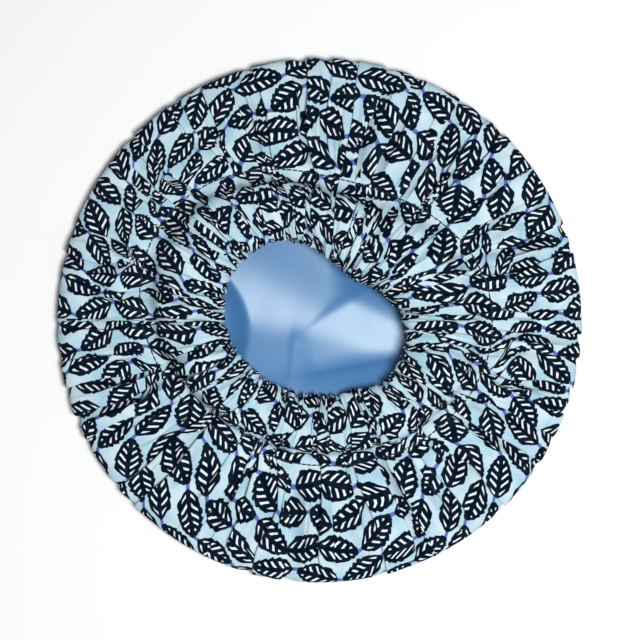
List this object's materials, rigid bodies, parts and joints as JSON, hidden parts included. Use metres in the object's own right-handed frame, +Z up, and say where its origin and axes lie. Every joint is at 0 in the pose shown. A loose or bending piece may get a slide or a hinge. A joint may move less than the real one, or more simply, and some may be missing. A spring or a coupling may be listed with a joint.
{
  "type": "hair bonnet",
  "caption": "Round gathered hair bonnet lying flat, printed cotton outside and satin inside, with an elastic casing round an opening that stretches wide.",
  "frame": {"origin": "middle of the crown's outline, on the surface that the crown lies on", "axes": "+Z up out of the opening, +Y towards the far side of the opening as pictured, +X to the right of the picture"},
  "size_m": [0.34, 0.34, 0.0408],
  "materials": {
    "printed_cotton": "matt plain-weave cotton, pale aqua with a navy and white print",
    "satin_lining": "soft satin, sky blue",
    "elastic": "woven white elastic",
    "thread": "dark sewing thread"
  },
  "bodies": {
    "crown": {"outer_crown": "printed_cotton", "lining_crown": "satin_lining"},
    "gore_01": {"outer_gore_01": "printed_cotton", "lining_gore_01": "satin_lining", "elastic_01": "elastic", "casing_stitch_01": "thread", "elastic_lap_end": "elastic", "elastic_lap_stitch": "thread"},
    "gore_02": {"outer_gore_02": "printed_cotton", "lining_gore_02": "satin_lining", "elastic_02": "elastic", "casing_stitch_02": "thread"},
    "gore_03": {"outer_gore_03": "printed_cotton", "lining_gore_03": "satin_lining", "elastic_03": "elastic", "casing_stitch_03": "thread"},
    "gore_04": {"outer_gore_04": "printed_cotton", "lining_gore_04": "satin_lining", "elastic_04": "elastic", "casing_stitch_04": "thread"},
    "gore_05": {"outer_gore_05": "printed_cotton", "lining_gore_05": "satin_lining", "elastic_05": "elastic", "casing_stitch_05": "thread"},
    "gore_06": {"outer_gore_06": "printed_cotton", "lining_gore_06": "satin_lining", "elastic_06": "elastic", "casing_stitch_06": "thread"},
    "gore_07": {"outer_gore_07": "printed_cotton", "lining_gore_07": "satin_lining", "elastic_07": "elastic", "casing_stitch_07": "thread"},
    "gore_08": {"outer_gore_08": "printed_cotton", "lining_gore_08": "satin_lining", "elastic_08": "elastic", "casing_stitch_08": "thread"},
    "gore_09": {"outer_gore_09": "printed_cotton", "lining_gore_09": "satin_lining", "elastic_09": "elastic", "casing_stitch_09": "thread"},
    "gore_10": {"outer_gore_10": "printed_cotton", "lining_gore_10": "satin_lining", "elastic_10": "elastic", "casing_stitch_10": "thread"},
    "gore_11": {"outer_gore_11": "printed_cotton", "lining_gore_11": "satin_lining", "elastic_11": "elastic", "casing_stitch_11": "thread"},
    "gore_12": {"outer_gore_12": "printed_cotton", "lining_gore_12": "satin_lining", "elastic_12": "elastic", "casing_stitch_12": "thread"}
  },
  "joints": [
    {"name": "gore_01_swing", "type": "hinge", "parent": "crown", "child": "gore_01", "pos_m": [0.1703, 0, 0.009], "axis": [0, 1, 0], "range_deg": [0, 38], "stiffness_Nm_per_rad": 0.3},
    {"name": "gore_02_swing", "type": "hinge", "parent": "crown", "child": "gore_02", "pos_m": [0.14748, 0.08515, 0.009], "axis": [-0.5, 0.866, 0], "range_deg": [0, 38], "stiffness_Nm_per_rad": 0.3},
    {"name": "gore_03_swing", "type": "hinge", "parent": "crown", "child": "gore_03", "pos_m": [0.08515, 0.14748, 0.009], "axis": [-0.866, 0.5, 0], "range_deg": [0, 38], "stiffness_Nm_per_rad": 0.3},
    {"name": "gore_04_swing", "type": "hinge", "parent": "crown", "child": "gore_04", "pos_m": [0, 0.1703, 0.009], "axis": [-1, 0, 0], "range_deg": [0, 38], "stiffness_Nm_per_rad": 0.3},
    {"name": "gore_05_swing", "type": "hinge", "parent": "crown", "child": "gore_05", "pos_m": [-0.08515, 0.14748, 0.009], "axis": [-0.866, -0.5, 0], "range_deg": [0, 38], "stiffness_Nm_per_rad": 0.3},
    {"name": "gore_06_swing", "type": "hinge", "parent": "crown", "child": "gore_06", "pos_m": [-0.14748, 0.08515, 0.009], "axis": [-0.5, -0.866, 0], "range_deg": [0, 38], "stiffness_Nm_per_rad": 0.3},
    {"name": "gore_07_swing", "type": "hinge", "parent": "crown", "child": "gore_07", "pos_m": [-0.1703, 0, 0.009], "axis": [0, -1, 0], "range_deg": [0, 38], "stiffness_Nm_per_rad": 0.3},
    {"name": "gore_08_swing", "type": "hinge", "parent": "crown", "child": "gore_08", "pos_m": [-0.14748, -0.08515, 0.009], "axis": [0.5, -0.866, 0], "range_deg": [0, 38], "stiffness_Nm_per_rad": 0.3},
    {"name": "gore_09_swing", "type": "hinge", "parent": "crown", "child": "gore_09", "pos_m": [-0.08515, -0.14748, 0.009], "axis": [0.866, -0.5, 0], "range_deg": [0, 38], "stiffness_Nm_per_rad": 0.3},
    {"name": "gore_10_swing", "type": "hinge", "parent": "crown", "child": "gore_10", "pos_m": [0, -0.1703, 0.009], "axis": [1, 0, 0], "range_deg": [0, 38], "stiffness_Nm_per_rad": 0.3},
    {"name": "gore_11_swing", "type": "hinge", "parent": "crown", "child": "gore_11", "pos_m": [0.08515, -0.14748, 0.009], "axis": [0.866, 0.5, 0], "range_deg": [0, 38], "stiffness_Nm_per_rad": 0.3},
    {"name": "gore_12_swing", "type": "hinge", "parent": "crown", "child": "gore_12", "pos_m": [0.14748, -0.08515, 0.009], "axis": [0.5, 0.866, 0], "range_deg": [0, 38], "stiffness_Nm_per_rad": 0.3}
  ],
  "couplings": [
    {"joint": "gore_02_swing", "follows": "gore_01_swing", "ratio": 1},
    {"joint": "gore_03_swing", "follows": "gore_01_swing", "ratio": 1},
    {"joint": "gore_04_swing", "follows": "gore_01_swing", "ratio": 1},
    {"joint": "gore_05_swing", "follows": "gore_01_swing", "ratio": 1},
    {"joint": "gore_06_swing", "follows": "gore_01_swing", "ratio": 1},
    {"joint": "gore_07_swing", "follows": "gore_01_swing", "ratio": 1},
    {"joint": "gore_08_swing", "follows": "gore_01_swing", "ratio": 1},
    {"joint": "gore_09_swing", "follows": "gore_01_swing", "ratio": 1},
    {"joint": "gore_10_swing", "follows": "gore_01_swing", "ratio": 1},
    {"joint": "gore_11_swing", "follows": "gore_01_swing", "ratio": 1},
    {"joint": "gore_12_swing", "follows": "gore_01_swing", "ratio": 1}
  ]
}
